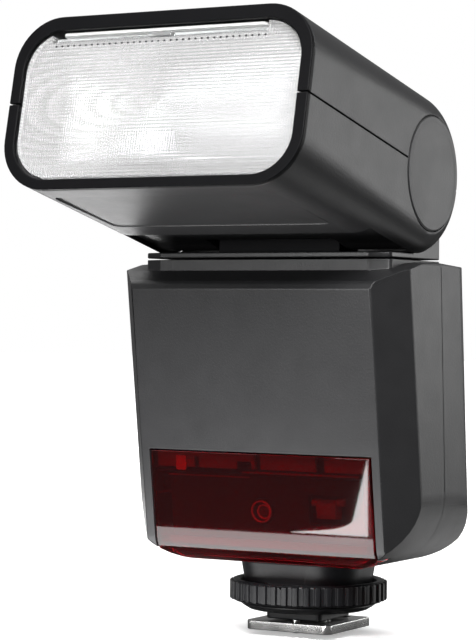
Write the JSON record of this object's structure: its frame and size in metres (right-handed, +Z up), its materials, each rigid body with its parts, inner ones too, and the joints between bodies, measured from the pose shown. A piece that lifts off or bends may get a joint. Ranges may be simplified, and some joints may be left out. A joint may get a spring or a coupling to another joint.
{
  "type": "speedlight flash",
  "caption": "Shoe-mounted camera flash: body with focus-lamp window, rear display and keys, knurled shoe lock, and a head that tilts, swivels and zooms.",
  "frame": {"origin": "centre of the underside of the shoe plate, where the flash meets a camera's accessory shoe", "axes": "+Z up, along the body's height; -Y is the way the flash faces; +X is to the right when one looks at its front"},
  "size_m": [0.062, 0.0793, 0.1164],
  "materials": {
    "shell_plastic": "black moulded plastic with a fine matt texture",
    "trim_plastic": "smooth satin black plastic",
    "rubber": "soft black rubber",
    "red_window": "polished dark red see-through plastic",
    "clear_lens": "clear plastic with fine grooves",
    "white_panel": "white plastic",
    "bright_metal": "bright plated metal",
    "mirror_metal": "polished reflector",
    "brass": "gilt contacts",
    "glass_tube": "clear glass",
    "circuit_board": "green circuit board",
    "display": "unlit liquid crystal panel",
    "display_cover": "clear window with a dark edge",
    "cell_wrap": "dark wrapped cell"
  },
  "bodies": {
    "body": {"front_shell": "shell_plastic", "rear_shell": "shell_plastic", "focus_window": "red_window", "window_mask": "trim_plastic", "focus_lamp_lens": "clear_lens", "focus_lamp": "trim_plastic", "light_sensor": "glass_tube", "battery_pack": "cell_wrap", "battery_contacts": "brass", "main_capacitor": "cell_wrap", "main_board": "circuit_board", "port_socket": "bright_metal", "display_cover": "display_cover", "display": "display", "control_board": "circuit_board", "case_screw_1": "bright_metal", "case_screw_2": "bright_metal", "case_screw_3": "bright_metal", "case_screw_4": "bright_metal", "foot_neck": "trim_plastic", "foot_clamp": "bright_metal", "foot_screw_left": "bright_metal", "foot_screw_right": "bright_metal", "shoe_plate": "bright_metal", "contact_block": "trim_plastic", "shoe_contacts": "brass", "shoe_screw_left": "bright_metal", "shoe_screw_right": "bright_metal"},
    "battery_door": {"battery_door": "shell_plastic"},
    "port_flap": {"port_flap": "rubber"},
    "menu_button_1": {"menu_button_1": "rubber"},
    "menu_button_2": {"menu_button_2": "rubber"},
    "menu_button_3": {"menu_button_3": "rubber"},
    "menu_button_4": {"menu_button_4": "rubber"},
    "select_dial": {"select_dial": "trim_plastic"},
    "set_button": {"set_button": "trim_plastic"},
    "power_switch": {"power_switch": "trim_plastic"},
    "test_button": {"test_button": "trim_plastic"},
    "clamp_washer": {"clamp_washer": "trim_plastic"},
    "lock_ring": {"lock_ring": "trim_plastic"},
    "lock_pin": {"lock_pin": "bright_metal"},
    "yoke": {"swivel_yoke": "trim_plastic", "swivel_nut": "bright_metal"},
    "head": {"head_upper_shell": "shell_plastic", "head_lower_shell": "shell_plastic", "tilt_cap_left": "shell_plastic", "tilt_cap_right": "shell_plastic", "tilt_shaft": "bright_metal", "tilt_bracket_left": "bright_metal", "tilt_bracket_right": "bright_metal", "fresnel_lens": "clear_lens", "panel_tray": "trim_plastic", "guide_rod": "bright_metal", "zoom_motor": "bright_metal"},
    "zoom_carriage": {"zoom_carriage": "trim_plastic", "reflector": "mirror_metal", "flash_tube": "glass_tube"},
    "zoom_screw": {"zoom_screw": "bright_metal"},
    "wide_panel": {"wide_panel": "clear_lens"},
    "catchlight_panel": {"catchlight_panel": "white_panel"}
  },
  "joints": [
    {"name": "head_swivel", "type": "hinge", "parent": "body", "child": "yoke", "pos_m": [0, -0.008, 0.0727], "axis": [0, 0, 1], "range_deg": [-90, 180]},
    {"name": "head_tilt", "type": "hinge", "parent": "yoke", "child": "head", "pos_m": [0, -0.0097, 0.0888], "axis": [-1, 0, 0], "range_deg": [-12.4, 77.6]},
    {"name": "wide_panel_slide", "type": "slide", "parent": "head", "child": "wide_panel", "axis": [0, -0.9767, 0.2147], "range_m": [0, 0.03]},
    {"name": "catchlight_panel_slide", "type": "slide", "parent": "head", "child": "catchlight_panel", "axis": [0, -0.9767, 0.2147], "range_m": [0, 0.03]},
    {"name": "zoom_slide", "type": "slide", "parent": "head", "child": "zoom_carriage", "axis": [0, -0.9767, 0.2147], "range_m": [-0.002, 0.006]},
    {"name": "zoom_screw_turn", "type": "hinge", "parent": "head", "child": "zoom_screw", "pos_m": [0.0247, -0.03449, 0.0878], "axis": [0, -0.9767, 0.2147], "range_deg": [-181, 541]},
    {"name": "battery_door_swing", "type": "hinge", "parent": "body", "child": "battery_door", "pos_m": [-0.031, -0.001, 0.049], "axis": [0, 0, -1], "range_deg": [0, 110]},
    {"name": "port_flap_swing", "type": "hinge", "parent": "body", "child": "port_flap", "pos_m": [-0.031, 0, 0.0283], "axis": [0, 0, -1], "range_deg": [0, 95]},
    {"name": "menu_button_1_press", "type": "slide", "parent": "body", "child": "menu_button_1", "axis": [0, -0.9966, -0.0827], "range_m": [0, 0.0005], "stiffness_N_per_m": 400},
    {"name": "menu_button_2_press", "type": "slide", "parent": "body", "child": "menu_button_2", "axis": [0, -0.9966, -0.0827], "range_m": [0, 0.0005], "stiffness_N_per_m": 400},
    {"name": "menu_button_3_press", "type": "slide", "parent": "body", "child": "menu_button_3", "axis": [0, -0.9966, -0.0827], "range_m": [0, 0.0005], "stiffness_N_per_m": 400},
    {"name": "menu_button_4_press", "type": "slide", "parent": "body", "child": "menu_button_4", "axis": [0, -0.9966, -0.0827], "range_m": [0, 0.0005], "stiffness_N_per_m": 400},
    {"name": "set_button_press", "type": "slide", "parent": "body", "child": "set_button", "axis": [0, -0.9966, -0.0827], "range_m": [0, 0.0006], "stiffness_N_per_m": 400},
    {"name": "test_button_press", "type": "slide", "parent": "body", "child": "test_button", "axis": [0, -0.9966, -0.0827], "range_m": [0, 0.0006], "stiffness_N_per_m": 400},
    {"name": "power_switch_slide", "type": "slide", "parent": "body", "child": "power_switch", "axis": [0, -0.0827, 0.9966], "range_m": [0, 0.0035]},
    {"name": "select_dial_turn", "type": "hinge", "parent": "body", "child": "select_dial", "pos_m": [0, 0.01176, 0.03005], "axis": [0, 0.9966, 0.0827], "continuous": true},
    {"name": "lock_ring_turn", "type": "hinge", "parent": "clamp_washer", "child": "lock_ring", "pos_m": [0, 0, 0.0076], "axis": [0, 0, 1], "range_deg": [0, 360]},
    {"name": "clamp_washer_slide", "type": "slide", "parent": "body", "child": "clamp_washer", "axis": [0, 0, -1], "range_m": [0, 0.001]},
    {"name": "lock_pin_slide", "type": "slide", "parent": "body", "child": "lock_pin", "axis": [0, 0, -1], "range_m": [0, 0.001]}
  ],
  "couplings": [
    {"joint": "zoom_screw_turn", "follows": "zoom_slide", "rad_per_m": 1570.8},
    {"joint": "clamp_washer_slide", "follows": "lock_ring_turn", "m_per_rad": 0.000159},
    {"joint": "lock_pin_slide", "follows": "lock_ring_turn", "m_per_rad": 0.000159}
  ]
}
